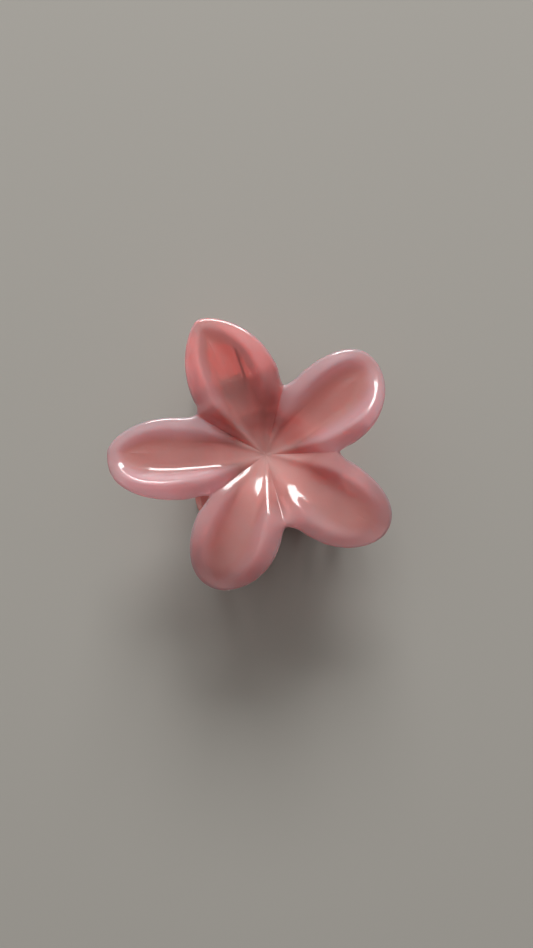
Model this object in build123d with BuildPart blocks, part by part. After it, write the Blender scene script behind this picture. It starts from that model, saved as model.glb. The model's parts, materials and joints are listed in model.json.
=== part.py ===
"""Flower claw clip for hair: a five-petal flower on a sprung, toothed two-jaw claw. Millimetres.

Clip coordinates start at the flower's throat: X runs along the hinge, Y towards the petal that is
pressed with the thumb, Z out of the flower's face. The planes `clip`, `side` and `front` carry them
into the resting frame, where the clip lies on its rear jaw and the tip of its rear lever.
"""

import os
from math import asin, atan2, cos, degrees, hypot, radians, sin

from build123d import *

# Flower
petal_count = 5
petal_reach = 41.0          # throat to petal tip
petal_width = 23.4
petal_length = 46.0         # whole ellipse of the outline, whose inner end lies past the throat
petal_wall = 2.3
petal_slope = 2.0           # degrees, how steeply a petal leaves the throat
petal_curl_radius = 90.0    # lengthwise curve of the petal's bed
cup_radius = 15.0           # crosswise curve of the petal's bed
cup_axis_slope = 8.0        # degrees, tightens the cup towards the tip
rim_round = 1.0
boss_radius = 7.0           # round pad under the throat that is bonded to the front jaw
boss_face = -3.2

# Hinge
hinge_y = 21.6
hinge_z = -2.6
pin_radius = 1.0
pin_length = 22.4
running_clearance = 0.05
eye_radius = 2.9
eye_width = 2.6
rear_eye_start = 5.3
front_eye_start = 8.3

# Torsion spring
wire_radius = 0.5
coil_radius = 2.4
coil_length = 8.4
coil_turns = 8
front_leg_length = 11.5
rear_leg_length = 12.5
front_leg_angle = 21.0

# Jaws
plate = 2.2
tooth_pitch = 7.4
gap_root = 3.6
gap_tip = 5.2
hinge_width = 22.4
shoulder_round = 9.0
lever_round = 5.5

# Front jaw: a flat bed under the flower that turns down into the teeth
front_teeth = 6
front_width = 41.2
bed_end_y = 13.0
bed_turn_y = -10.7
front_turn_radius = 8.5
front_turn = 108.0          # degrees
front_gap_top = -7.2
arm_low = -4.0
arm_high = -0.9
arm_start_y = 8.0

# Rear jaw: lever, bend under the hinge, deep hook up into the teeth
rear_teeth = 7
rear_width = 48.8
lever_angle = 42.0
lever_length = 26.0
lever_tip_width = 14.0
rear_drop_angle = 50.0
rear_drop = 20.0
rear_bed_radius = 17.0
rear_hook_radius = 12.0
rear_tooth_rise = 4.6
rear_gap_bottom = -22.0
bend_round = 2.2

# Derived points of the rear jaw's centre line, as (y, z)
plate_offset = eye_radius + 0.35 + plate / 2
lever_out = Vector(cos(radians(lever_angle)), -sin(radians(lever_angle)))
lever_down = Vector(-sin(radians(lever_angle)), -cos(radians(lever_angle)))
hinge = Vector(hinge_y, hinge_z)
bend_point = hinge + lever_down * plate_offset
lever_tip = bend_point + lever_out * lever_length
drop_out = Vector(-cos(radians(rear_drop_angle)), -sin(radians(rear_drop_angle)))
drop_end = bend_point + drop_out * rear_drop
bed_centre = drop_end + Vector(drop_out.Y, -drop_out.X) * rear_bed_radius

# Resting frame: the floor touches the rear bed's outside and the rounded lever tip
reach = lever_tip - bed_centre
rest_tilt = asin(rear_bed_radius / hypot(reach.X, reach.Y)) - atan2(-reach.Y, reach.X)
floor_up = Vector(-sin(rest_tilt), cos(rest_tilt))
throat_z = rear_bed_radius + plate / 2 - bed_centre.dot(floor_up)
throat_y = -3.93            # centres the clip's length on the origin

clip = Plane(
    origin=(0, throat_y, throat_z),
    x_dir=(1, 0, 0),
    z_dir=(0, sin(rest_tilt), cos(rest_tilt)),
)
side = Plane(origin=clip.origin, x_dir=clip.y_dir, z_dir=clip.x_dir)
front = Plane(origin=clip.origin, x_dir=clip.x_dir, z_dir=-clip.y_dir)

os.makedirs("parts", exist_ok=True)


# ---- flower: five cupped petals that run together in the throat, in one moulding ----
slope = radians(petal_slope)
curl_centre = (-petal_curl_radius * sin(slope), petal_curl_radius * cos(slope))


def bed_height(distance, radius):
    """Height of the petal's bed, or of its underside, at a distance from the throat."""
    return curl_centre[1] - (radius**2 - (distance - curl_centre[0]) ** 2) ** 0.5


shell_start = -6.0
shell_end = 46.0
outside_radius = petal_curl_radius + petal_wall

with BuildPart() as petal:
    with BuildSketch(Plane.XZ):
        with BuildLine():
            inner = ThreePointArc(
                (shell_start, bed_height(shell_start, petal_curl_radius)),
                (20, bed_height(20, petal_curl_radius)),
                (shell_end, bed_height(shell_end, petal_curl_radius)),
            )
            outer = ThreePointArc(
                (shell_start, bed_height(shell_start, outside_radius)),
                (20, bed_height(20, outside_radius)),
                (shell_end, bed_height(shell_end, outside_radius)),
            )
            Line(inner @ 0, outer @ 0)
            Line(inner @ 1, outer @ 1)
        make_face()
    cup_direction = (cos(radians(cup_axis_slope)), 0, sin(radians(cup_axis_slope)))
    revolve(axis=Axis((0, 0, cup_radius), cup_direction))
    with BuildSketch(Plane.XY.offset(-5)):
        with Locations((petal_reach - petal_length / 2, 0)):
            Ellipse(petal_length / 2, petal_width / 2)
    extrude(amount=18.5, mode=Mode.INTERSECT)
    fillet(petal.edges().filter_by(lambda edge: edge.length > petal_length), rim_round)
    wedge = petal_reach * 1.3
    half_step = radians(180 / petal_count)
    with BuildSketch(Plane.XY.offset(-6)):
        Polygon(
            (0, 0),
            (wedge * cos(half_step), -wedge * sin(half_step)),
            (wedge * cos(half_step), wedge * sin(half_step)),
            align=None,
        )
    extrude(amount=30, mode=Mode.INTERSECT)

with BuildPart(clip) as flower:
    with PolarLocations(0, petal_count, start_angle=90):
        add(petal.part)
    with BuildSketch(clip.offset(boss_face)):
        Circle(boss_radius)
    extrude(amount=1.9)
flower.part.label = "flower"
export_step(flower.part, "parts/flower.step")


# ---- front jaw: bed, teeth, and two arms that end in hinge eyes ----
def tooth_gaps(teeth, low_z, low_width, high_z, high_width):
    """Tapered gaps between a comb's teeth, seen from the front; the narrow end is round."""
    for i in range(teeth - 1):
        x = (i - (teeth - 2) / 2) * tooth_pitch
        Polygon(
            (x - low_width / 2, low_z),
            (x + low_width / 2, low_z),
            (x + high_width / 2, high_z),
            (x - high_width / 2, high_z),
            align=None,
        )
        root_z = low_z if low_width < high_width else high_z
        with Locations((x, root_z)):
            Circle(min(low_width, high_width) / 2)


with BuildPart() as front_jaw:
    with BuildSketch(side):
        with BuildLine():
            bed_z = boss_face - plate / 2
            bed = Line((bed_end_y, bed_z), (bed_turn_y, bed_z))
            JernArc(bed @ 1, bed % 1, front_turn_radius, front_turn)
            offset(amount=plate / 2)
        make_face()
    extrude(amount=front_width / 2, both=True)
    with BuildSketch(clip.offset(-30)) as front_outline:
        with BuildLine():
            Polyline(
                (-hinge_width / 2, bed_end_y + 2),
                (-hinge_width / 2, arm_start_y),
                (-front_width / 2, -5),
                (-front_width / 2, -30),
                (front_width / 2, -30),
                (front_width / 2, -5),
                (hinge_width / 2, arm_start_y),
                (hinge_width / 2, bed_end_y + 2),
                close=True,
            )
        make_face()
        shoulders = front_outline.vertices().filter_by_position(Axis.Y, -6, 9)
        fillet(shoulders, shoulder_round)
    extrude(amount=32, mode=Mode.INTERSECT)
    with BuildSketch(front.offset(13)):
        tooth_gaps(front_teeth, -25, gap_tip + 1.5, front_gap_top, gap_root)
    extrude(amount=20, mode=Mode.SUBTRACT)
    for eye_x in (front_eye_start, -front_eye_start - eye_width):
        with BuildSketch(side.offset(eye_x)):
            with Locations((arm_start_y, arm_low)):
                Rectangle(hinge_y - arm_start_y, arm_high - arm_low, align=(Align.MIN, Align.MIN))
            with Locations((hinge_y, hinge_z)):
                Circle(eye_radius)
        extrude(amount=eye_width)
    with BuildSketch(side.offset(-hinge_width)):
        with Locations((hinge_y, hinge_z)):
            Circle(pin_radius + running_clearance)
    extrude(amount=2 * hinge_width, mode=Mode.SUBTRACT)
front_jaw.part.label = "front_jaw"
export_step(front_jaw.part, "parts/front_jaw.step")


# ---- rear jaw: lever, hook, teeth and two hinge eyes ----
with BuildPart() as rear_jaw:
    with BuildSketch(side):
        with BuildLine():
            FilletPolyline(lever_tip, bend_point, drop_end, radius=bend_round)
            bed = JernArc(drop_end, drop_out, rear_bed_radius, -rear_drop_angle)
            hook = JernArc(bed @ 1, bed % 1, rear_hook_radius, -90)
            Line(hook @ 1, (hook @ 1) + (hook % 1) * rear_tooth_rise)
            offset(amount=plate / 2)
        make_face()
    extrude(amount=rear_width / 2, both=True)
    with BuildSketch(clip.offset(-35)) as rear_outline:
        with BuildLine():
            Polyline(
                (-lever_tip_width / 2, lever_tip.X + plate / 2),
                (-hinge_width / 2, hinge_y),
                (-hinge_width / 2, bed_end_y),
                (-rear_width / 2, -4),
                (-rear_width / 2, -30),
                (rear_width / 2, -30),
                (rear_width / 2, -4),
                (hinge_width / 2, bed_end_y),
                (hinge_width / 2, hinge_y),
                (lever_tip_width / 2, lever_tip.X + plate / 2),
                close=True,
            )
        make_face()
        shoulders = rear_outline.vertices().filter_by_position(Axis.Y, -5, bed_end_y + 1)
        fillet(shoulders, shoulder_round)
        fillet(rear_outline.vertices().group_by(Axis.Y)[-1], lever_round)
    extrude(amount=40, mode=Mode.INTERSECT)
    with BuildSketch(front.offset(10)):
        tooth_gaps(rear_teeth, rear_gap_bottom, gap_root, -5, gap_tip + 1.5)
    extrude(amount=20, mode=Mode.SUBTRACT)
    for eye_x in (rear_eye_start, -rear_eye_start - eye_width):
        with BuildSketch(side.offset(eye_x)):
            with Locations((hinge_y, hinge_z)):
                Circle(eye_radius)
            Polygon(
                hinge - lever_out * eye_radius,
                hinge + lever_out * eye_radius,
                hinge + lever_out * eye_radius + lever_down * plate_offset,
                hinge - lever_out * eye_radius + lever_down * plate_offset,
                align=None,
            )
        extrude(amount=eye_width)
    with BuildSketch(side.offset(-hinge_width)):
        with Locations((hinge_y, hinge_z)):
            Circle(pin_radius)
    extrude(amount=2 * hinge_width, mode=Mode.SUBTRACT)
rear_jaw.part.label = "rear_jaw"
export_step(rear_jaw.part, "parts/rear_jaw.step")


# ---- hinge pin ----
with BuildPart() as hinge_pin:
    with BuildSketch(side.offset(-pin_length / 2)):
        with Locations((hinge_y, hinge_z)):
            Circle(pin_radius)
    extrude(amount=pin_length)
    chamfer(hinge_pin.edges().filter_by(GeomType.CIRCLE), 0.3)
hinge_pin.part.label = "hinge_pin"
export_step(hinge_pin.part, "parts/hinge_pin.step")


# ---- torsion spring: close-wound coil round the pin, one leg under the petal, one on the lever ----
# The coil starts at the lever's side; each leg leaves it in line with its last turn.
coil_start_angle = 270 - lever_angle
coil_end_angle = 90 + front_leg_angle
turns = coil_turns + (coil_start_angle - coil_end_angle) / 360
coil_plane = Plane(
    origin=side.from_local_coords((hinge_y, hinge_z, -coil_length / 2)),
    x_dir=side.x_dir * lever_down.X + side.y_dir * lever_down.Y,
    z_dir=side.z_dir,
)

with BuildPart() as coil:
    with BuildLine() as wire_path:
        turns_line = Helix(coil_length / turns, coil_length, coil_radius, lefthand=True)
        Line(turns_line @ 0 - (turns_line % 0) * rear_leg_length, turns_line @ 0)
        Line(turns_line @ 1, turns_line @ 1 + (turns_line % 1) * front_leg_length)
    with BuildSketch(Plane(origin=wire_path.wire() @ 0, z_dir=wire_path.wire() % 0)):
        Circle(wire_radius)
    sweep(path=wire_path.wire())

with BuildPart() as torsion_spring:
    add(coil_plane * coil.part)
torsion_spring.part.label = "torsion_spring"
export_step(torsion_spring.part, "parts/torsion_spring.step")

print("rest tilt, degrees:", round(degrees(rest_tilt), 2))
print("hinge in the resting frame:", side.from_local_coords((hinge_y, hinge_z, 0)))
whole = Compound([flower.part, front_jaw.part, rear_jaw.part, hinge_pin.part, torsion_spring.part])
print("whole clip:", whole.bounding_box())
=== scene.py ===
"""Flower claw clip: the visual model, materials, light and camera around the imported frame.

Lengths in the helpers are millimetres in the clip's own coordinates; the frame is in metres.
"""

import json
import math
from collections import namedtuple

import bmesh
import bpy
import numpy as np
from mathutils import Matrix, Vector


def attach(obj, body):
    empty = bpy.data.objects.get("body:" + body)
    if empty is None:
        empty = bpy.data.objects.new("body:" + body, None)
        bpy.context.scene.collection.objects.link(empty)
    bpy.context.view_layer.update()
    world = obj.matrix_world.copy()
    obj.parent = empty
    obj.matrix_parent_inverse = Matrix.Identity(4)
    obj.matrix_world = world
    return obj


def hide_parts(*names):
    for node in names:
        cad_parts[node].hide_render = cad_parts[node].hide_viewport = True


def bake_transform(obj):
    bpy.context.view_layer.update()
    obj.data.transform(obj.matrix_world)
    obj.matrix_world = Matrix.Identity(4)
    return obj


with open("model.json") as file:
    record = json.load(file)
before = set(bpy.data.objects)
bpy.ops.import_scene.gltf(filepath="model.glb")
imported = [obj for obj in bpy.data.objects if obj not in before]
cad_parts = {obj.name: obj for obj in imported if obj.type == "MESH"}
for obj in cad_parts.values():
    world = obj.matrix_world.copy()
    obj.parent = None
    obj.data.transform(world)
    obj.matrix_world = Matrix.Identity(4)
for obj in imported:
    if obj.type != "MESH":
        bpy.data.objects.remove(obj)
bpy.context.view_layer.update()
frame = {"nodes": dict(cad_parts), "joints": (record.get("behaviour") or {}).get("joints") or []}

MM = 0.001

# ---------------------------------------------------------------- the clip's own coordinates
# The origin is in the throat, X runs along the hinge, Y towards the lever petal, and the flower
# faces along Z. The clip leans a little as it lies on its rear half.
REST_TILT = math.radians(5.14)
HINGE_Y, HINGE_Z = 21.6, -2.6
hinge = next(j for j in frame["joints"] if j["name"] == "jaw_hinge")
HINGE_POINT = Vector(hinge["pos_m"])
CLIP_X = Vector((1, 0, 0))
CLIP_Y = Vector((0, math.cos(REST_TILT), -math.sin(REST_TILT)))
CLIP_Z = Vector((0, math.sin(REST_TILT), math.cos(REST_TILT)))
THROAT = HINGE_POINT - CLIP_Y * HINGE_Y * MM - CLIP_Z * HINGE_Z * MM
CLIP_BASIS = np.array([CLIP_X, CLIP_Y, CLIP_Z])


def to_frame(points):
    """Clip coordinates in millimetres to the frame's metres."""
    return np.asarray(points, float) @ CLIP_BASIS * MM + np.array(THROAT)


def clip_point(x, y, z):
    """One point of the clip as a vector in the frame."""
    return Vector(to_frame([(x, y, z)])[0])


# ---------------------------------------------------------------- flower: sizes
BED_CURL = 90.0                          # radius of a petal's bed, lengthwise
BED_SLOPE = math.radians(2.0)            # slope of the bed at the throat
FLAT_FROM, FLAT_TO = 18.0, 39.0          # a bed starts to drop at the first, and is down at the second
FUNNEL_RISE, FUNNEL_FROM, FUNNEL_WIDTH = 2.2, 4.0, 8.5    # the throat is a small funnel
PIT_DEPTH, PIT_RADIUS = 0.8, 2.6         # the pit in the middle of the throat
CUP_RADIUS = 15.0                        # radius of a petal's cross section at the throat
CUP_SLOPE = math.tan(math.radians(8.0))  # how fast that radius grows outwards
WALL = 2.3                               # thickness of the plastic under a bed
RIM = 1.0                                # how far the rounded rim bulges outwards
RIM_HEIGHT = 1.7                         # least thickness of the rim, seen from the side
MOULD_SCALE = 1.028                      # the flower is this much larger than the petal sizes below
THROAT_SHIFT = 1.5                       # the throat sits a little beside the middle of the hinge

# The moulded petals are not alike: each leans a little, and its two sides bulge differently.
NAMES = ("lever", "left", "low_left", "low_right", "right")    # counter-clockwise
AXIS = dict(zip(NAMES, (96.9, 159.6, 229.0, 306.7, 379.6)))    # direction of a petal, in degrees
REACH = dict(zip(NAMES, (39.3, 41.4, 38.7, 38.6, 37.9)))       # its length
WIDEST = dict(zip(NAMES, (0.50, 0.57, 0.58, 0.55, 0.57)))      # where along its length it is widest
FLAT_DROP = dict(zip(NAMES, (3.4, 3.6, 9.0, 8.5, 4.2)))        # how far its outer part drops
RIM_PALENESS_AND_PAINTED_SHEEN = dict(zip(NAMES, (0.30, 1.0, 0.42, 0.40, 0.95)))         # painted sheen on its rims, set per petal by how it faces the window, partly the thinner plastic's paler tone

# One side of a petal: half width, how pointed its tip is, roll of its rim, drop of the roll, start
# of its inner wall, softness of its crest, depth of its moulding streaks, rise of its wall.
Side = namedtuple("Side", "half_width point roll drop wall_start softness streaks rise")
LEFT = {
    "lever": Side(10.7, 1.47, 3.4, 1.3, 0.25, 0.55, 0.0, 0.75),
    "left": Side(12.3, 0.77, 3.0, 0.7, 0.42, 0.60, 0.075, 0.88),
    "low_left": Side(12.2, 1.19, 3.2, 1.0, 0.10, 0.70, 0.035, 0.60),
    "low_right": Side(10.8, 0.84, 2.8, 0.9, 0.05, 0.90, 0.0, 0.62),
    "right": Side(10.5, 0.78, 2.3, 0.65, 0.00, 0.80, 0.0, 0.75),
}
RIGHT = {
    "lever": Side(13.1, 1.31, 2.6, 0.45, 0.00, 0.90, 0.0, 0.70),
    "left": Side(9.5, 1.30, 1.6, 0.5, 0.00, 0.90, 0.0, 0.60),
    "low_left": Side(11.1, 0.91, 2.2, 0.35, 0.00, 0.90, 0.015, 0.48),
    "low_right": Side(11.9, 1.26, 2.2, 0.7, 0.00, 1.00, 0.0, 0.34),
    "right": Side(12.7, 1.12, 2.4, 0.8, 0.42, 0.60, 0.05, 1.10),
}
# The crease after each petal: its direction, the radius of its notch, and its lead. With a positive
# lead the petal before the crease stands higher there, with a negative one the petal after it.
Crease = namedtuple("Crease", "direction radius lead")
CREASE = {
    "lever": Crease(130.8, 20.3, 1.0),
    "left": Crease(197.1, 17.1, 0.25),
    "low_left": Crease(265.4, 18.9, 0.0),
    "low_right": Crease(341.7, 18.4, 0.8),
    "right": Crease(415.3, 17.7, -0.8),
}

# the wall's crest and the rim that rolls over it
TIP_ROLL, TIP_DROP, TIP_SOFTNESS = 2.0, 0.25, 1.5         # every tip has these
TIP_SHARE = 0.8                          # and change to the side's over this share of its columns
CREASE_COLUMNS = 20                      # columns over which a rim turns into a crease
CREASE_RISE, RISE_SHARE, LEAD_RISE = 0.4, 0.5, 0.15       # rise of the wall at a crease
CREASE_DROP = 0.45                       # share of the roll's drop that is lost at a crease
ROLL_SHARE = 0.42                        # a roll takes at most this share of a column
NARROW = 5.0                             # on columns shorter than this the roll drops less
SOFT_SHARE, SOFT_LEAST = 0.18, 0.02      # a crest's most softness: this share of a column plus this
CREST_FROM, CREST_TO = 0.3, 0.95         # a smoothed crest stays between these shares of a column
CREST_ROUNDS = 40                        # smoothing of the crest's height about the notch
CORNER_COLUMNS, CORNER_ROUNDS = 16, 400  # the crests are drawn tight round the notches
BOWL_SQUARE = 0.75                       # share of a wall's rise that is a square, not a fourth power
STREAK_PITCH, STREAK_WIDTH = 1.05, 1.6   # moulding streaks along the crest
STAR_RADIUS = 8.0                        # from this distance inwards the creases fade out
UNDER_EDGE = 5.0                         # the underside bends to the rim over this distance

# how pale the plastic is painted: 0 in the throat, 1 at the palest rims
# the deep red throat is a painted glow of light through the thick plastic; the pale rims are a painted
# sheen, partly the thinner plastic's own paler tone
BOWL_PALENESS, THROAT_TINT = 0.38, 21.0  # paleness of a bed, full at this distance from the throat
RIM_TINT = 20.0                          # a rim's paleness is full at this distance
RIM_SHARE, RIM_LEAST = 0.45, 0.5         # a rim's pale band: this share of its wall plus this
TIP_PALENESS = 0.45                      # a tip's paleness as a share of its sides'
UNDER_PALENESS, UNDER_RIM = 0.4, 0.5     # paleness underneath, and how much paler its edge is painted, a painted glow of light through the rim

# the mesh: columns run from the midline to the rim or the crease, and rows cross them
TIP_STEPS, SIDE_STEPS, THROAT_STEPS = 34, 14, 30
RIM_COLUMNS = TIP_STEPS + SIDE_STEPS
TOP_ROWS, UNDER_ROWS, CAP_STEPS = 44, 16, 8
ROW_CROWDING = 1.25                      # the top's rows crowd towards the rim
BLUR_STEPS = 17
NOTCH_DEPTH = 14.5                       # where on the midline the columns of the notches start
TIP_CENTRE = 0.3                         # the tip's first column starts at least this share out
WELD, FINE_WELD = 2e-6, 1e-7             # metres
SMOOTH_REACH = 24.0                      # within this of the throat the mesh is evened out most


# ---------------------------------------------------------------- flower: heights
def smooth_step(x):
    """Eases from 0 to 1 as x goes from 0 to 1."""
    x = np.clip(x, 0, 1)
    return x * x * (3 - 2 * x)


def dish(u, drop=0.0):
    """Height of a shallow dish at a distance u from the throat; its outer part drops away."""
    start = -BED_CURL * math.sin(BED_SLOPE)
    top = BED_CURL * math.cos(BED_SLOPE)
    past = np.maximum(u - FLAT_FROM, 0) / (FLAT_TO - FLAT_FROM)
    return top - np.sqrt(BED_CURL**2 - (u - start) ** 2) - drop * past**2


def bed(u, drop=0.0):
    """Height of a petal's bed: the dish with a small funnel round the throat."""
    return dish(u, drop) + FUNNEL_RISE * smooth_step((u - FUNNEL_FROM) / FUNNEL_WIDTH)


def pit(u):
    """Depth of the throat's pit at a distance u from its middle."""
    return PIT_DEPTH * np.exp(-((u / PIT_RADIUS) ** 2))


def cup(u, v, grow=0.0):
    """Rise of the petal's wall at v beside its bed."""
    radius = CUP_RADIUS + CUP_SLOPE * u - dish(u) + grow
    return radius - np.sqrt(np.maximum(radius**2 - v**2, 1.0))


def underside(u, v, drop):
    """Height of the petal's underside, one wall below its top."""
    return bed(u, drop) - WALL + cup(u, v, WALL)


# ---------------------------------------------------------------- flower: outline of half a petal
def midline(name):
    """Where a petal's columns start on its midline, tip to throat; its two halves share them."""
    length = (1 - WIDEST[name]) * REACH[name] - RIM
    middle = WIDEST[name] * REACH[name]
    width = (LEFT[name].half_width + RIGHT[name].half_width) / 2 - RIM
    a = np.linspace(0, math.pi / 2, TIP_STEPS, endpoint=False)
    # the tip's columns fan out from about the centre of curvature of an elliptic tip
    tip = middle + max(length - width**2 / length, TIP_CENTRE * length) * np.cos(a)
    t = np.linspace(0, 1, SIDE_STEPS, endpoint=False)
    side = middle + (NOTCH_DEPTH - middle) * t
    return np.concatenate([tip, side, NOTCH_DEPTH * np.linspace(1, 0, THROAT_STEPS + 1)])


def half_outline(name, shape, notch):
    """Columns of half a petal, tip to throat: inner and outer ends, and outward directions.

    The inner ends are on the midline. The outer ends follow the rim from the tip to the notch,
    and then the crease down to the throat.
    """
    middle = WIDEST[name] * REACH[name]
    length = REACH[name] - RIM - middle
    width = shape.half_width - RIM
    a = np.linspace(0, math.pi / 2, TIP_STEPS, endpoint=False)
    tip = np.stack([middle + length * np.cos(a), width * np.sin(a) ** shape.point], 1)
    t = np.linspace(0, 1, SIDE_STEPS, endpoint=False)
    side = np.stack([middle + (notch[0] - middle) * t, width + (notch[1] - width) * t**2], 1)
    s = np.linspace(1, 0, THROAT_STEPS + 1)
    outer = np.vstack([tip, side, notch * s[:, None]])
    inner_u = midline(name)
    inner = np.stack([inner_u, 0 * inner_u], 1)
    rim = outer[: RIM_COLUMNS + 1]
    along = np.gradient(rim, axis=0)
    normal = np.stack([along[:, 1], -along[:, 0]], 1)
    normal /= np.linalg.norm(normal, axis=1)[:, None]
    normal[0] = (1, 0)
    # over the last third of the rim the direction turns to the crease's, as its neighbour's does
    crease_out = notch / np.linalg.norm(notch)
    turn = smooth_step(np.arange(RIM_COLUMNS + 1) / RIM_COLUMNS * 3 - 2)[:, None]
    out = normal * (1 - turn) + crease_out * turn
    out /= np.linalg.norm(out, axis=1)[:, None]
    return inner, outer, out


def corner_pull():
    """How much each column is smoothed together with its neighbours: most at the notch."""
    index = np.arange(RIM_COLUMNS + THROAT_STEPS + 1)
    return np.exp(-(((index - RIM_COLUMNS) / CORNER_COLUMNS) ** 2))[1:-1]


def eased(values, rounds):
    """A copy of values along the columns, smoothed about the notch."""
    values = values.copy()
    for _ in range(rounds):
        values[1:-1] += ((values[:-2] + values[2:]) / 2 - values[1:-1]) * corner_pull()
    return values


def crest_line(inner, outer, fraction):
    """Where the crest crosses each column, drawn tight like a thread round the notch's corner."""
    pull = corner_pull()
    way = outer - inner
    length = (way**2).sum(1) + 1e-9
    for _ in range(CORNER_ROUNDS):
        point = inner + way * fraction[:, None]
        between = (point[:-2] + point[2:]) / 2
        tight = ((between - inner[1:-1]) * way[1:-1]).sum(1) / length[1:-1]
        fraction[1:-1] += (np.clip(tight, CREST_FROM, CREST_TO) - fraction[1:-1]) * pull
    return fraction


def half_petal(name, side):
    """Columns of half a petal, tip to throat; side is 1 for its left half and -1 for its right."""
    shape = (LEFT if side > 0 else RIGHT)[name]
    crease = CREASE[name if side > 0 else NAMES[NAMES.index(name) - 1]]
    away = math.radians((side * (crease.direction - AXIS[name])) % 360)
    notch = crease.radius * np.array([math.cos(away), math.sin(away)])
    inner, outer, out = half_outline(name, shape, notch)
    index = np.arange(len(inner))
    from_tip = smooth_step(index / (TIP_SHARE * TIP_STEPS))
    to_crease = smooth_step((index - RIM_COLUMNS + CREASE_COLUMNS) / CREASE_COLUMNS)
    span = np.linalg.norm(outer - inner, axis=1)
    u, v = outer[:, 0], outer[:, 1]
    flat = FLAT_DROP[name]
    over = CREASE_RISE + RISE_SHARE * shape.rise + LEAD_RISE * crease.lead * side
    crest = bed(u, flat) + cup(u, v) * (shape.rise + (over - shape.rise) * to_crease)
    roll = TIP_ROLL + (shape.roll - TIP_ROLL) * from_tip
    place = crest_line(inner, outer, 1 - np.minimum(roll / (span + 1e-9), ROLL_SHARE))
    drop = (TIP_DROP + (shape.drop - TIP_DROP) * from_tip) * np.minimum(span / NARROW, 1.0)
    drop = drop * (1 - CREASE_DROP * to_crease)
    softness = TIP_SOFTNESS + (shape.softness - TIP_SOFTNESS) * from_tip
    return {
        "angle": math.radians(AXIS[name]),
        "side": side,
        "flat": flat,
        "inner": inner,
        "outer": outer,
        "out": out,
        "span": span,
        "low": bed(inner[:, 0], flat) - pit(inner[:, 0]),
        "crest": eased(crest, CREST_ROUNDS),
        "roll": span * (1 - place),
        "edge": crest - drop,
        "under": underside(u, v, flat),
        "to_crease": to_crease,
        "wall_start": shape.wall_start * from_tip,
        "softness": np.minimum(softness, SOFT_SHARE * span + SOFT_LEAST),
        "streaks": shape.streaks * from_tip,
        # the rims' painted sheen, weaker at the tips
        "rim_paleness_and_painted_sheen": RIM_PALENESS_AND_PAINTED_SHEEN[name] * (TIP_PALENESS + (1 - TIP_PALENESS) * from_tip),
    }


def join_creases(halves):
    """Two halves meet along a crease, at the same height on top and underneath."""
    for i, name in enumerate(NAMES):
        pair = halves[(name, 1)], halves[(NAMES[(i + 1) % len(NAMES)], -1)]
        shared = np.minimum(pair[0]["edge"], pair[1]["edge"])
        shared_under = np.minimum(pair[0]["under"], pair[1]["under"])
        for half in pair:
            half["edge"] = half["edge"] + (shared - half["edge"]) * half["to_crease"]
            target = half["under"] + (shared_under - half["under"]) * half["to_crease"]
            target = np.minimum(target, half["edge"] - RIM_HEIGHT)
            half["under_shift"] = target - half["under"]


# ---------------------------------------------------------------- flower: surface of half a petal
def top_heights(half, distance):
    """Height of the top at distances from the midline, for each column: bowl, then rolled rim."""
    span, roll = half["span"] + 1e-6, half["roll"] + 1e-7
    reach = span - roll
    start = half["wall_start"]
    t = np.clip((np.abs(distance) / reach - start) / (1 - start), 0, 1)
    wall = BOWL_SQUARE * t**2 + (1 - BOWL_SQUARE) * t**4
    bowl = half["low"] + (half["crest"] - half["low"]) * wall
    past = np.clip((distance - reach) / roll, 0, 1)
    roof = half["crest"] - (half["crest"] - half["edge"]) * past**2
    return np.where(distance < reach, bowl, roof)


def blurred(half, distance):
    """The same with its crest rounded, by a weighted mean over nearby distances."""
    total, weights = 0.0, 0.0
    for offset in np.linspace(-2, 2, BLUR_STEPS):
        weight = math.exp(-offset * offset)
        near = np.minimum(distance + offset * half["softness"], half["span"])
        total = total + weight * top_heights(half, near)
        weights += weight
    return total / weights


def soft_top(half, fraction):
    """Height of the top at a fraction of each column, with its streaks.

    Both halves share the midline and the creases exactly, so the blur is taken back at both ends.
    Near the throat the creases give way to a round hollow.
    """
    span = half["span"]
    distance = span * fraction
    at_middle = (half["low"] - blurred(half, 0 * span)) * (1 - fraction) ** 2
    at_edge = (half["edge"] - blurred(half, span)) * fraction**8
    from_crest = distance - (span - half["roll"])
    window = np.exp(-((from_crest / STREAK_WIDTH) ** 2)) * (1 - half["to_crease"])
    window = window * 4 * fraction * (1 - fraction)
    streaks = half["streaks"] * window * np.cos(2 * math.pi * from_crest / STREAK_PITCH)
    top = blurred(half, distance) + at_middle + at_edge + streaks
    points = half["inner"] + (half["outer"] - half["inner"]) * fraction
    radius = np.linalg.norm(points, axis=1)
    hollow = bed(radius) - pit(radius)
    return hollow + (top - hollow) * smooth_step(radius / STAR_RADIUS)


def placed(half, points, z):
    """Points of a half petal in clip coordinates."""
    ca, sa = math.cos(half["angle"]), math.sin(half["angle"])
    u, w = points[:, 0], points[:, 1] * half["side"]
    return np.stack([u * ca - w * sa, u * sa + w * ca, z], axis=-1)


# The rows of the three sheets have a fourth value for each point: how pale the plastic is painted
# there, with its painted glow and sheen.
def top_sheet(half):
    """Rows of the top, from the midline to the rim."""
    inner, outer, span, roll = half["inner"], half["outer"], half["span"], half["roll"]
    # painted glow in the red throat, painted sheen on the pale rims
    bowl = BOWL_PALENESS * smooth_step(inner[:, 0] / THROAT_TINT)
    rim = half["rim_paleness_and_painted_sheen"] * smooth_step(inner[:, 0] / RIM_TINT)
    rows = []
    for f in 1 - (1 - np.linspace(0, 1, TOP_ROWS)) ** ROW_CROWDING:
        from_crest = (span * (1 - f) - roll) / (RIM_SHARE * (span - roll) + RIM_LEAST)
        paleness_and_painted_light = bowl + (1 - bowl) * smooth_step(1 - from_crest) * rim
        points = placed(half, inner + (outer - inner) * f, soft_top(half, f))
        rows.append(np.column_stack([points, paleness_and_painted_light]))
    return np.array(rows)


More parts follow.
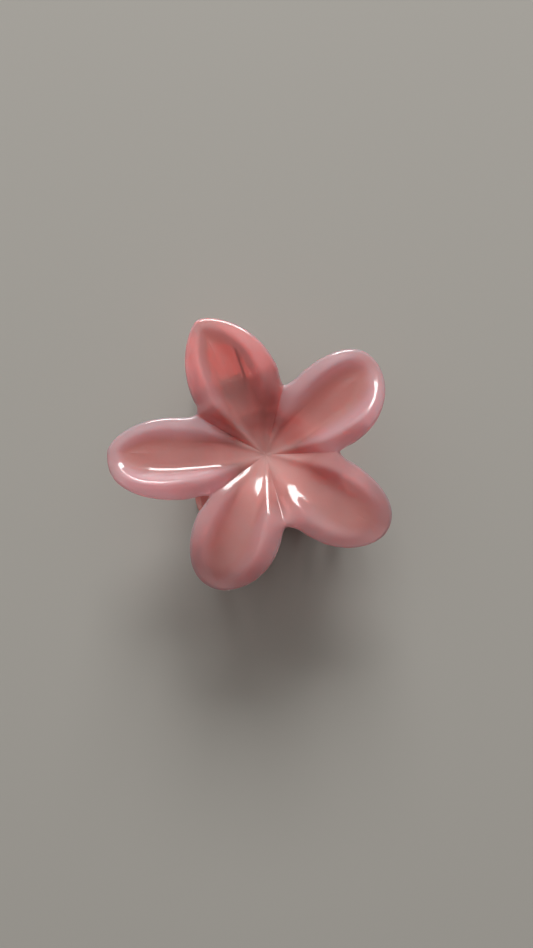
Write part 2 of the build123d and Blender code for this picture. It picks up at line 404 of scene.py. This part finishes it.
def under_sheet(half):
    """Rows of the underside, from the rim to the midline."""
    inner, outer, span = half["inner"], half["outer"], half["span"]
    rows = []
    for f in np.linspace(1, 0, UNDER_ROWS):
        points = inner + (outer - inner) * f
        near_edge = smooth_step(1 - span * (1 - f) / UNDER_EDGE) * smooth_step(2 * f)
        z = underside(points[:, 0], points[:, 1], half["flat"]) + half["under_shift"] * near_edge
        paleness_and_painted_light = UNDER_PALENESS + UNDER_RIM * near_edge
        rows.append(np.column_stack([placed(half, points, z), paleness_and_painted_light]))
    return np.array(rows)


def rim_sheet(half, top, under):
    """Rows of the rounded rim, from the top's last row to the underside's first."""
    free = slice(0, RIM_COLUMNS + 1)
    upper, lower = top[-1][free], under[0][free]
    rows = [upper]
    for j in range(1, CAP_STEPS):
        a = math.pi * j / CAP_STEPS
        z = (upper + lower)[:, 2] / 2 + (upper - lower)[:, 2] / 2 * math.cos(a)
        points = placed(half, half["outer"][free] + half["out"] * RIM * math.sin(a), z)
        rows.append(np.column_stack([points, (upper + lower)[:, 3] / 2]))
    rows.append(lower)
    return np.array(rows)


# ---------------------------------------------------------------- flower: mesh
def flower_mesh():
    """Closed mesh of the whole flower, from ten half petals, and the paleness of its points."""
    halves = {(name, side): half_petal(name, side) for name in NAMES for side in (1, -1)}
    join_creases(halves)
    vertices, faces = [], []
    for half in halves.values():
        top, under = top_sheet(half), under_sheet(half)
        for sheet in (top, rim_sheet(half, top, under), under):
            rows, columns = sheet.shape[:2]
            first = len(vertices)
            vertices.extend(sheet.reshape(-1, 4))
            for r in range(rows - 1):
                for c in range(columns - 1):
                    a = first + r * columns + c
                    faces.append((a, a + 1, a + 1 + columns, a + columns))
    vertices = np.array(vertices)
    points = vertices[:, :3] * MOULD_SCALE + np.array([THROAT_SHIFT, 0, 0])
    return to_frame(points), faces, vertices[:, 3]


def make_mesh(name, points, faces):
    """A new object from points in the frame and faces."""
    mesh = bpy.data.meshes.new(name)
    mesh.from_pydata([tuple(p) for p in points], [], faces)
    obj = bpy.data.objects.new(name, mesh)
    bpy.context.scene.collection.objects.link(obj)
    return obj


def clean(obj, distance):
    """Merges doubled points, turns every face outwards, and shades the mesh smooth."""
    bm = bmesh.new()
    bm.from_mesh(obj.data)
    bmesh.ops.remove_doubles(bm, verts=bm.verts, dist=distance)
    bmesh.ops.dissolve_degenerate(bm, edges=bm.edges, dist=distance)
    bmesh.ops.recalc_face_normals(bm, faces=bm.faces)
    bm.to_mesh(obj.data)
    bm.free()
    obj.data.polygons.foreach_set("use_smooth", [True] * len(obj.data.polygons))


def soften_creases(obj, centre, reach, inner_rounds, all_rounds):
    """Evens the mesh out, most of all within a distance of the throat, where the creases meet."""
    bm = bmesh.new()
    bm.from_mesh(obj.data)
    near = [v for v in bm.verts if (v.co - centre).length < reach]
    for chosen, rounds in ((near, inner_rounds), (bm.verts, all_rounds)):
        for _ in range(rounds):
            bmesh.ops.smooth_vert(bm, verts=chosen, factor=0.5, use_axis_x=True, use_axis_y=True,
                                  use_axis_z=True)
    bm.to_mesh(obj.data)
    bm.free()


flower_points, flower_faces, flower_paleness_and_painted_light = flower_mesh()
flower = make_mesh("flower_moulding", flower_points, flower_faces)
# the paleness carries a painted glow in the throat and a painted sheen on the rims
flower.data.attributes.new("paleness_and_painted_light", "FLOAT", "POINT").data.foreach_set("value", flower_paleness_and_painted_light)
clean(flower, WELD)
soften_creases(flower, clip_point(THROAT_SHIFT, 0, 1), SMOOTH_REACH * MM,
               inner_rounds=12, all_rounds=2)
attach(flower, "front_half")
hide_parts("flower")


# ---------------------------------------------------------------- pad under the throat
PAD_RADIUS, PAD_BOTTOM, PAD_MIDDLE, PAD_TOP = 7.0, -3.2, -1.6, 0.0
PAD_FLARE, PAD_SIDES, PAD_RINGS = 1.3, 64, 8
PAD_EDGE_IN, PAD_EDGE_UP, PAD_EDGE_MIDDLE = 0.4, 0.35, 0.1     # the rounding of its bottom edge
PAD_CENTRE = 0.01                        # radius of the first and the last ring


def tube_faces(rings, sides):
    """Faces of a tube made of rings of points, closed at both ends."""
    faces = []
    for i in range(rings - 1):
        for k in range(sides):
            a, b = i * sides + k, i * sides + (k + 1) % sides
            faces.append((a, b, b + sides, a + sides))
    last = (rings - 1) * sides
    faces.append(tuple(range(sides))[::-1])
    faces.append(tuple(last + k for k in range(sides)))
    return faces


def pad_mesh():
    """The round pad under the throat that is bonded to the front jaw; it flares into the petals.

    Its top is a hollow cone, which keeps it within the thickness of the petals.
    """
    edge_top = PAD_BOTTOM + PAD_EDGE_UP
    rings = [(PAD_CENTRE, PAD_BOTTOM),
             (PAD_RADIUS - PAD_EDGE_IN, PAD_BOTTOM),
             (PAD_RADIUS - PAD_EDGE_MIDDLE, PAD_BOTTOM + PAD_EDGE_MIDDLE),
             (PAD_RADIUS, edge_top)]
    for i in range(1, PAD_RINGS + 1):
        a = math.pi / 2 * i / PAD_RINGS
        z = edge_top + (PAD_TOP - edge_top) * math.sin(a)
        rings.append((PAD_RADIUS + PAD_FLARE * (1 - math.cos(a)), z))
    rings.append((PAD_CENTRE, PAD_MIDDLE))
    vertices = []
    for r, z in rings:
        for k in range(PAD_SIDES):
            t = 2 * math.pi * k / PAD_SIDES
            vertices.append((r * math.cos(t), r * math.sin(t), z))
    return to_frame(vertices), tube_faces(len(rings), PAD_SIDES)


pad = make_mesh("flower_pad", *pad_mesh())
clean(pad, FINE_WELD)
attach(pad, "front_half")
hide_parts("flower")


# ---------------------------------------------------------------- spring
COIL_RADIUS, WIRE_RADIUS = 2.4, 0.5
COIL_HALF_LENGTH = 4.2
COIL_START, COIL_TURNS = math.radians(228), 8.29
REAR_LEG, FRONT_LEG = 12.5, 11.5
COIL_POINTS, LEG_POINTS, WIRE_SIDES, DOME_STEPS = 240, 10, 12, 4
DOME_END = 0.02                          # radius of a dome's last ring, as a share of the wire's


def spring_path():
    """Centre line of the wire: the rear leg, the coil and the front leg."""
    angle = COIL_START - 2 * math.pi * COIL_TURNS * np.linspace(0, 1, COIL_POINTS)
    x = np.linspace(-COIL_HALF_LENGTH, COIL_HALF_LENGTH, COIL_POINTS)
    y = HINGE_Y + COIL_RADIUS * np.cos(angle)
    z = HINGE_Z + COIL_RADIUS * np.sin(angle)
    coil = np.stack([x, y, z], 1)
    first = np.array([0, math.sin(angle[0]), -math.cos(angle[0])])
    last = np.array([0, math.sin(angle[-1]), -math.cos(angle[-1])])
    legs = np.linspace(1, 0.1, LEG_POINTS)[:, None]     # from a leg's end to near the coil
    rear_leg = coil[0] - first * REAR_LEG * legs
    front_leg = coil[-1] + last * FRONT_LEG * legs[::-1]
    return np.vstack([rear_leg, coil, front_leg])


def wire_mesh(path, radius):
    """A tube along a path, its ends domed."""
    along = np.gradient(path, axis=0)
    along /= np.linalg.norm(along, axis=1)[:, None]
    sideways = np.array([1.0, 0, 0])
    sections = []
    for point, ahead in zip(path, along):
        across = sideways - ahead * sideways.dot(ahead)
        across /= np.linalg.norm(across)
        sections.append((point, across, np.cross(ahead, across), radius))
    dome = [(math.cos(t), math.sin(t)) for t in np.linspace(0, math.pi / 2, DOME_STEPS + 1)[1:]]
    ends = []
    for section, ahead in ((sections[0], -along[0]), (sections[-1], along[-1])):
        point, across, up, _ = section
        ends.append([(point + ahead * radius * s, across, up, radius * max(c, DOME_END))
                     for c, s in dome])
    sections = ends[0][::-1] + sections + ends[1]
    vertices = []
    for point, across, up, r in sections:
        for k in range(WIRE_SIDES):
            t = 2 * math.pi * k / WIRE_SIDES
            vertices.append(point + (across * math.cos(t) + up * math.sin(t)) * r)
    return to_frame(vertices), tube_faces(len(sections), WIRE_SIDES)


spring = make_mesh("spring_wire", *wire_mesh(spring_path(), WIRE_RADIUS))
clean(spring, FINE_WELD)
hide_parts("torsion_spring")
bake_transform(spring)


# ---------------------------------------------------------------- jaws and pin
CAD_WELD = 0.25                          # the CAD's short edges would disturb the bevel
FLAT_ANGLE, EDGE_ANGLE = math.radians(3), math.radians(38)
JAW_EDGE, PIN_EDGE = 0.26, 0.25


def soften(node, width):
    """Rounds the moulded edges of a CAD node with modifiers, and leaves its mesh alone."""
    obj = frame["nodes"][node]
    weld = obj.modifiers.new("weld", "WELD")
    weld.merge_threshold = CAD_WELD * MM
    flats = obj.modifiers.new("whole_flats", "DECIMATE")
    flats.decimate_type = "DISSOLVE"
    flats.angle_limit = FLAT_ANGLE
    bevel = obj.modifiers.new("rounded_edges", "BEVEL")
    bevel.width = width * MM
    bevel.segments = 3
    bevel.limit_method = "ANGLE"
    bevel.angle_limit = EDGE_ANGLE
    bevel.use_clamp_overlap = False
    normals = obj.modifiers.new("even_normals", "WEIGHTED_NORMAL")
    normals.keep_sharp = False


soften("front_jaw", JAW_EDGE)
soften("rear_jaw", JAW_EDGE)
soften("hinge_pin", PIN_EDGE)


# ---------------------------------------------------------------- materials
TONE_PLACES = (0.12, 0.52, 1.0)          # where the three tones stand on the colour ramp
CLOUDINESS = 0.30                        # how much the clouds add to the paleness
CLEAR_LEAST, CLEAR_MOST = 0.15, 0.62     # clear share of the plastic; the least is at paleness 0


def new_material(name):
    """A material, its shader, its nodes and its links."""
    material = bpy.data.materials.new(name)
    material.use_nodes = True
    tree = material.node_tree
    return material, tree.nodes["Principled BSDF"], tree.nodes, tree.links


def set_inputs(node, values):
    """Sets constant values on a node's sockets."""
    for socket, value in values.items():
        node.inputs[socket].default_value = value


def plastic(name, tones, radius, moulded=False):
    """Milky jelly plastic: translucent, its tones mixed by faint clouds.

    When moulded, it is also paler and clearer where the mesh's paleness attribute says so; that
    paleness paints a glow of light into the deep red throat and a sheen onto the pale rims. A piece
    without that attribute has paleness 0.
    """
    material, shader, nodes, links = new_material(name)
    coords = nodes.new("ShaderNodeTexCoord")
    cloud = nodes.new("ShaderNodeTexNoise")
    set_inputs(cloud, {"Scale": 60, "Detail": 5})
    links.new(coords.outputs["Object"], cloud.inputs["Vector"])
    mixed = nodes.new("ShaderNodeMath")
    mixed.operation = "MULTIPLY_ADD"
    mixed.inputs[1].default_value = CLOUDINESS
    mixed.inputs[2].default_value = 0.0
    links.new(cloud.outputs["Fac"], mixed.inputs[0])
    ramp = nodes.new("ShaderNodeValToRGB")
    ramp.color_ramp.elements.new(0.5)
    for element, place, tone in zip(ramp.color_ramp.elements, TONE_PLACES, tones):
        element.position = place
        element.color = (*tone, 1)
    links.new(mixed.outputs["Value"], ramp.inputs["Fac"])
    links.new(ramp.outputs["Color"], shader.inputs["Base Color"])
    grain = nodes.new("ShaderNodeTexNoise")
    set_inputs(grain, {"Scale": 420, "Detail": 3})
    links.new(coords.outputs["Object"], grain.inputs["Vector"])
    bump = nodes.new("ShaderNodeBump")
    set_inputs(bump, {"Strength": 0.10, "Distance": 0.0004})
    links.new(grain.outputs["Fac"], bump.inputs["Height"])
    links.new(bump.outputs["Normal"], shader.inputs["Normal"])
    links.new(bump.outputs["Normal"], shader.inputs["Coat Normal"])
    set_inputs(shader, {
        "Roughness": 0.16,
        "IOR": 1.45,
        "Transmission Weight": CLEAR_LEAST,
        "Subsurface Weight": 1.0,
        "Subsurface Radius": radius,
        "Subsurface Scale": 1.0,
        "Coat Weight": 0.5,
        "Coat Roughness": 0.05,
        "Sheen Weight": 0.12,
        "Sheen Roughness": 0.4,
        "Sheen Tint": (0.95, 0.82, 1.0, 1),
    })
    if moulded:
        # the paleness attribute moves the tone from the throat's painted glow to the rims' painted
        # sheen
        paleness_and_painted_light = nodes.new("ShaderNodeAttribute")
        paleness_and_painted_light.attribute_name = "paleness_and_painted_light"
        links.new(paleness_and_painted_light.outputs["Fac"], mixed.inputs[2])
        clear = nodes.new("ShaderNodeMapRange")
        set_inputs(clear, {"From Max": BOWL_PALENESS, "To Min": CLEAR_LEAST, "To Max": CLEAR_MOST})
        links.new(paleness_and_painted_light.outputs["Fac"], clear.inputs["Value"])
        links.new(clear.outputs["Result"], shader.inputs["Transmission Weight"])
    return material


def steel(name, tone, rough):
    """Bare steel, a little uneven in its gloss."""
    material, shader, nodes, links = new_material(name)
    noise = nodes.new("ShaderNodeTexNoise")
    set_inputs(noise, {"Scale": 900})
    gloss = nodes.new("ShaderNodeMapRange")
    set_inputs(gloss, {"To Min": rough - 0.08, "To Max": rough + 0.10})
    links.new(noise.outputs["Fac"], gloss.inputs["Value"])
    links.new(gloss.outputs["Result"], shader.inputs["Roughness"])
    set_inputs(shader, {"Base Color": (*tone, 1), "Metallic": 1.0})
    return material


def put(obj, material):
    """Gives an object this material alone."""
    obj.data.materials.clear()
    obj.data.materials.append(material)


# tones from the deep red throat, a painted glow, through the bowl to the pale lilac rims, a painted
# sheen that is partly the thinner plastic's own tone
petal_plastic = plastic("petal_plastic", radius=(0.0100, 0.0040, 0.0036), moulded=True,
                        tones=((1.0, 0.325, 0.305), (0.82, 0.35, 0.33), (0.95, 0.52, 0.565)))
jaw_plastic = plastic("jaw_plastic", radius=(0.0060, 0.0022, 0.0020),
                      tones=((0.68, 0.26, 0.235), (0.74, 0.31, 0.285), (0.78, 0.36, 0.34)))
spring_steel = steel("spring_steel", tone=(0.30, 0.29, 0.28), rough=0.32)
pin_steel = steel("pin_steel", tone=(0.45, 0.45, 0.45), rough=0.25)
put(flower, petal_plastic)
put(pad, petal_plastic)
put(spring, spring_steel)
put(frame["nodes"]["front_jaw"], jaw_plastic)
put(frame["nodes"]["rear_jaw"], jaw_plastic)
put(frame["nodes"]["hinge_pin"], pin_steel)

# ---------------------------------------------------------------- floor
FLOOR_SIZE = 6.0                         # metres
FLOOR_TONE = (0.380, 0.375, 0.348)

bpy.ops.mesh.primitive_plane_add(size=FLOOR_SIZE, location=(0, 0, 0))
floor = bpy.context.object
floor.name = "floor"
floor_material, floor_shader, _, _ = new_material("floor")
set_inputs(floor_shader, {"Base Color": (*FLOOR_TONE, 1), "Roughness": 0.9})
put(floor, floor_material)

# ---------------------------------------------------------------- light
# The camera is rolled against the clip. Lights are placed by the directions in the picture.
ROLL = math.radians(20)
UP = Vector((0, 0, 1))
IMAGE_UP = CLIP_X * math.sin(ROLL) + CLIP_Y * math.cos(ROLL)
IMAGE_RIGHT = CLIP_X * math.cos(ROLL) - CLIP_Y * math.sin(ROLL)
WINDOW_ELEVATION, SKY_ELEVATION, SKY_TURN = math.radians(31), math.radians(45), math.radians(15)


def area_light(name, aim, direction, distance, size, watts, colour):
    """A rectangular lamp at a distance in metres from a point, facing it."""
    light = bpy.data.lights.new(name, "AREA")
    light.shape = "RECTANGLE"
    light.size, light.size_y = size
    light.energy = watts
    light.color = colour
    obj = bpy.data.objects.new(name, light)
    bpy.context.scene.collection.objects.link(obj)
    obj.location = aim + direction.normalized() * distance
    obj.rotation_euler = direction.to_track_quat("Z", "Y").to_euler()


def soft_sky(direction, base, glow):
    """An even surround with one broad, soft-edged bright side, like a wall beside a window."""
    world = bpy.data.worlds.new("world")
    bpy.context.scene.world = world
    world.use_nodes = True
    nodes, links = world.node_tree.nodes, world.node_tree.links
    coords = nodes.new("ShaderNodeTexCoord")
    toward = nodes.new("ShaderNodeVectorMath")
    toward.operation = "DOT_PRODUCT"
    toward.inputs[1].default_value = direction.normalized()
    links.new(coords.outputs["Generated"], toward.inputs[0])
    strength = nodes.new("ShaderNodeMapRange")
    strength.interpolation_type = "SMOOTHSTEP"
    set_inputs(strength, {"From Min": 0.35, "From Max": 1.0, "To Min": base, "To Max": glow})
    links.new(toward.outputs["Value"], strength.inputs["Value"])
    background = nodes["Background"]
    set_inputs(background, {"Color": (1.0, 0.94, 0.90, 1)})
    links.new(strength.outputs["Result"], background.inputs["Strength"])


window_way = IMAGE_UP * math.cos(WINDOW_ELEVATION) + UP * math.sin(WINDOW_ELEVATION)
area_light("window", clip_point(0, 0, 5), window_way, distance=2.2, size=(1.1, 0.85), watts=53.0,
           colour=(1.0, 0.98, 0.97))
up_left = IMAGE_UP * math.cos(SKY_TURN) - IMAGE_RIGHT * math.sin(SKY_TURN)
soft_sky(up_left * math.cos(SKY_ELEVATION) + UP * math.sin(SKY_ELEVATION), base=0.08, glow=0.88)

# ---------------------------------------------------------------- camera
CAMERA_POINT = clip_point(-0.1, -5.2, 191.9)   # above the throat, and looking along the clip's Z

lens = bpy.data.cameras.new("camera")
lens.sensor_fit = "VERTICAL"
lens.sensor_height = 36
lens.lens = 26
lens.clip_start = 0.005
camera = bpy.data.objects.new("camera", lens)
bpy.context.scene.collection.objects.link(camera)
basis = Matrix((IMAGE_RIGHT, IMAGE_UP, IMAGE_RIGHT.cross(IMAGE_UP))).transposed()
camera.matrix_world = Matrix.Translation(CAMERA_POINT) @ basis.to_4x4()
bpy.context.scene.camera = camera
bpy.context.scene.view_settings.view_transform = "Standard"
